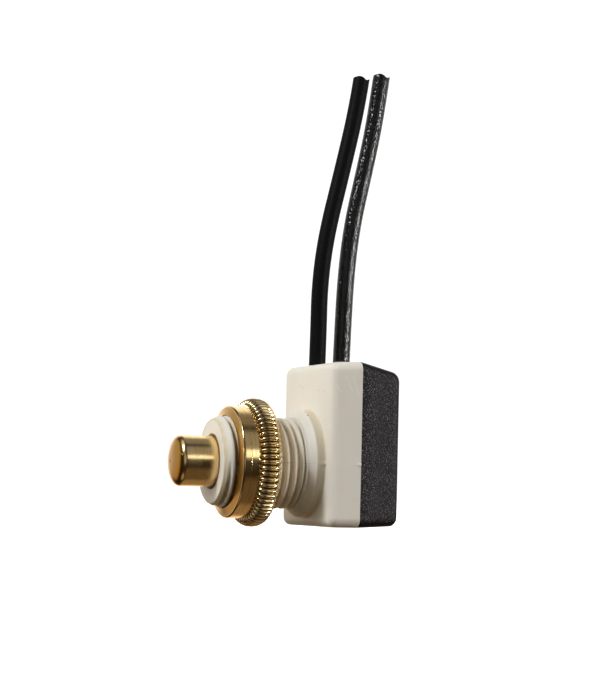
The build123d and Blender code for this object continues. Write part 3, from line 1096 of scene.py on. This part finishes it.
def nut_column(index):
    angle = 2 * pi * index / (tooth_count * tooth_columns)
    phase = index / tooth_columns
    column = []
    face_inner = nut_bore + nut_edge
    face_outer = collar_radius - collar_round
    for share in (0, 0.5, 1):
        radius = face_inner + (face_outer - face_inner) * share
        column.append(ring(angle, radius, nut_front_y + nut_face_fall * share))
    for bend in bends(15)[1:]:
        radius = collar_radius - collar_round * (1 - sin(bend))
        column.append(ring(angle, radius, nut_front_y + nut_face_fall + collar_round * (1 - cos(bend))))
    collar_start_y = nut_front_y + nut_face_fall + collar_round
    collar_end_y = rim_front_y - rim_gap
    for radius, y in (
        (collar_radius, collar_start_y + edge_break),
        (collar_radius, (collar_start_y + collar_end_y) / 2),
        (collar_radius, collar_end_y - 2 * edge_break),
        (collar_radius, collar_end_y - edge_break),
        (collar_radius - round_middle * edge_break, collar_end_y - round_middle * edge_break),
        (collar_radius - edge_break, collar_end_y),
        (collar_radius - edge_break, rim_front_y),
    ):
        column.append(ring(angle, radius, y))
    half = (nut_rear_y - rim_front_y) / 2
    for i in range(rim_rows + 1):
        y = rim_front_y + half * (1 - cos(pi * i / rim_rows))
        column.append(ring(angle, *rim_tooth(phase, y)))
    column.append(ring(angle, rear_face_radius, nut_rear_y))
    column.append(ring(angle, nut_bore + nut_edge, nut_rear_y))
    first = nut_front_y + nut_edge
    last = nut_rear_y - nut_edge
    before = [-off for off in nut_groove_stations]
    stations = [-thread_pitch / 2, *before, *reversed(nut_groove_stations)]
    for turn in nut_turns:
        for station in stations:
            y = groove_middle(angle, turn) - thread_pitch / 2 - station
            y = max(first, min(last, y))
            column.append(ring(angle, nut_thread(angle, y), y))
    return column


nut = skin("brass_ring_nut", [nut_column(i) for i in range(tooth_count * tooth_columns + 1)])
soften(nut, sharp_from=44)


def nut_finish():
    """Bright turned brass: polished collar with tool rings, a front face painted deeper for a painted
    reflection, a rim painted paler for a painted highlight, and painted shade in the knurl's furrows.
    """
    material, place = new_finish("turned_brass_nut", {"Metallic": 1.0})
    x, y, z = place.axes()
    rings = turned_lines(place, 7.0)
    fine = turned_lines(place, 24.0)
    radius = (x * x + z * z) ** 0.5
    on_rim = y.step(rim_front_y - 0.02, rim_front_y + 0.05)
    on_rim = on_rim * radius.step(tooth_root_limit - 0.18, tooth_root_limit - 0.03)
    turn = z.math("ARCTAN2", z, x) * tooth_count
    shaded_furrow = (0.5 - 0.5 * turn.math("COSINE", turn)).step(0.72, 0.98) * on_rim
    colour = rings.step(0.4, 0.75).between(brass_gold, brass_pale)
    tarnish = place.noise(1.1, 3.0, 0.6).step(0.5, 0.8)
    colour = (0.3 * tarnish).between(colour, brass_deep)
    # Painted reflection: the front face is painted a deeper brass, partly its own colour and partly the
    # shaded ivory nose that it reflects.
    face_end_y = nut_front_y + nut_face_fall
    face_outer = collar_radius - collar_round
    painted_face_reflection = y.step(face_end_y + 0.04, face_end_y - 0.02)
    painted_face_reflection = painted_face_reflection * radius.step(face_outer + 0.06, face_outer - 0.06)
    colour = (0.85 * painted_face_reflection).between(colour, brass_deep)
    # Painted highlight: the rim is painted paler, so that the knurl's teeth look brighter.
    colour = (0.5 * on_rim).between(colour, brass_pale)
    # Painted shade: the furrows between the teeth are painted nearly black.
    colour = (0.95 * shaded_furrow).between(colour, brass_dirt_and_shade)
    smudge = place.noise(1.6, 3.0, 0.6)
    tool_line = abs(y - collar_line_y).step(0.05, 0.02)
    feed(material, Base_Color=colour)
    feed(material, Roughness=0.09 + 0.10 * smudge + 0.05 * fine + 0.03 * on_rim + 0.2 * shaded_furrow)
    feed(material, Normal=(0.5 * fine + 0.5 * rings - 2.0 * tool_line).raised(0.005 * mm))
    return material


nut.data.materials.append(nut_finish())
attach(nut, "nut")
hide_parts("ring_nut")

# Studio: a pale floor that the switch stands on, and a white surround.
# Soft light comes from the front and above, from behind on the right and from low on the left, and the
# surround has pale areas that the brass and the black insulation reflect.
floor_gap = 0.01
floor_z = -(rim_radius + floor_gap) * mm
floor_reach = 1.4
white_level = 1.1
floor_disc = bmesh.new()
bmesh.ops.create_circle(floor_disc, cap_ends=True, segments=96, radius=floor_reach)
floor = shaped_piece("pale_floor", floor_disc)
floor.location.z = floor_z
floor_values = {
    "Base Color": (0.9, 0.9, 0.9, 1),
    "Roughness": 0.9,
    "Specular IOR Level": 0.1,
    "Emission Color": (1, 1, 1, 1),
    "Emission Strength": white_level,
}
floor.data.materials.append(new_finish("pale_floor", floor_values)[0])
floor.visible_diffuse = False
floor.visible_glossy = False

world = bpy.data.worlds.new("studio")
bpy.context.scene.world = world
world.use_nodes = True
sky = Signal(world.node_tree)
way = sky.node("TexCoord", out="Generated")


def toward(direction, low, high):
    """1 where the surround lies within a cone about this direction, fading out between the two cosines."""
    unit = Vector(direction).normalized()
    cosine = way.node("VectorMath", {"operation": "DOT_PRODUCT"}, {0: way, 1: unit}, "Value")
    return cosine.step(low, high)


# Each pale area has a level, a direction and the cosines where it starts and is full.
pale_areas = (
    (1.3, (-0.88, 0.44, 0.18), 0.62, 0.9),
    (0.5, (-0.72, -0.69, 0.05), 0.85, 0.92),
    (0.55, (-0.07, -0.55, 0.83), 0.90, 0.975),
    (0.35, (0.77, -0.63, 0.10), 0.90, 0.975),
    (0.35, (0.03, -0.50, -0.86), 0.94, 0.985),
    (0.25, (0.75, 0.35, 0.66), 0.86, 0.97),
    (0.2, (-0.25, 0.36, 0.90), 0.85, 0.97),
    (1.5, (0.1, 0.98, 0.15), 0.965, 0.988),
    (0.25, (-0.5, 0.36, -0.78), 0.85, 0.96),
    (0.09, (0.4, 0.36, -0.84), 0.80, 0.95),
)
light = 0.025
for level, direction, low, high in pale_areas:
    light = light + level * toward(direction, low, high)
white = (1, 1, 1)
from_above = (1, 0.97, 0.93)
from_below = (1, 0.70, 0.40)
below = toward((0, 0, -1), -0.05, 0.4)
seen = sky.node("LightPath", out="Is Camera Ray")
strength = seen * white_level + (1 - seen) * light
colour = seen.between(below.between(from_above, from_below), white)
background = world.node_tree.nodes["Background"]
world.node_tree.links.new(strength.socket, background.inputs["Strength"])
world.node_tree.links.new(colour.socket, background.inputs["Color"])


def softbox(name, direction, size, power, colour=white, distance=0.6, glossy=True, diffuse=True):
    """A soft rectangular light that faces the switch from this direction."""
    data = bpy.data.lights.new(name, "AREA")
    data.shape = "RECTANGLE"
    data.size, data.size_y = size
    data.energy = power
    data.color = colour
    lamp = bpy.data.objects.new(name, data)
    unit = Vector(direction).normalized()
    lamp.location = unit * distance
    lamp.rotation_mode = "QUATERNION"
    lamp.rotation_quaternion = unit.to_track_quat("Z", "Y")
    lamp.visible_glossy = glossy
    lamp.visible_diffuse = diffuse
    lamp.visible_camera = False
    bpy.context.scene.collection.objects.link(lamp)


softbox("key_light", (0.15, -0.72, 0.66), (0.10, 0.10), 1.95, (0.90, 0.955, 1))
softbox("front_fill", (0.1, -0.92, 0.32), (0.4, 0.4), 1.3, (1, 0.95, 0.88), glossy=False)
softbox("low_fill", (-0.55, -0.8, -0.15), (0.3, 0.3), 0.62, (1, 0.84, 0.62), glossy=False)
softbox("side_light", (0.70, 0.65, 0.31), (0.24, 0.15), 1.8, (1, 0.98, 0.95), glossy=False)
softbox("right_softbox", (0.894, 0.35, 0.27), (0.24, 0.15), 0.17, distance=0.59)
softbox("lead_strip", (0.70, 0.71, 0.08), (0.05, 0.12), 1.6, diffuse=False)

# Camera: where the photograph was taken from, level with the switch and to the right of its button.
# Its place, its angles in degrees and its focal length in pixels are fitted to the photograph.
image_height = 700
focal_pixels = 2110.434
camera_place = Vector((242.5045, -90.945, -3.7026)) * mm
camera_pitch = 93.907
camera_roll = -1.353
camera_heading = 69.0137
camera_data = bpy.data.cameras.new("camera")
camera_data.sensor_fit = "VERTICAL"
camera_data.sensor_height = 36
camera_data.lens = focal_pixels * camera_data.sensor_height / image_height
camera_data.clip_start = 0.01
camera = bpy.data.objects.new("camera", camera_data)
camera_turn = Euler([radians(angle) for angle in (camera_pitch, camera_roll, camera_heading)])
camera.matrix_world = Matrix.LocRotScale(camera_place, camera_turn, None)
bpy.context.scene.collection.objects.link(camera)
bpy.context.scene.camera = camera
bpy.context.scene.view_settings.view_transform = "Standard"
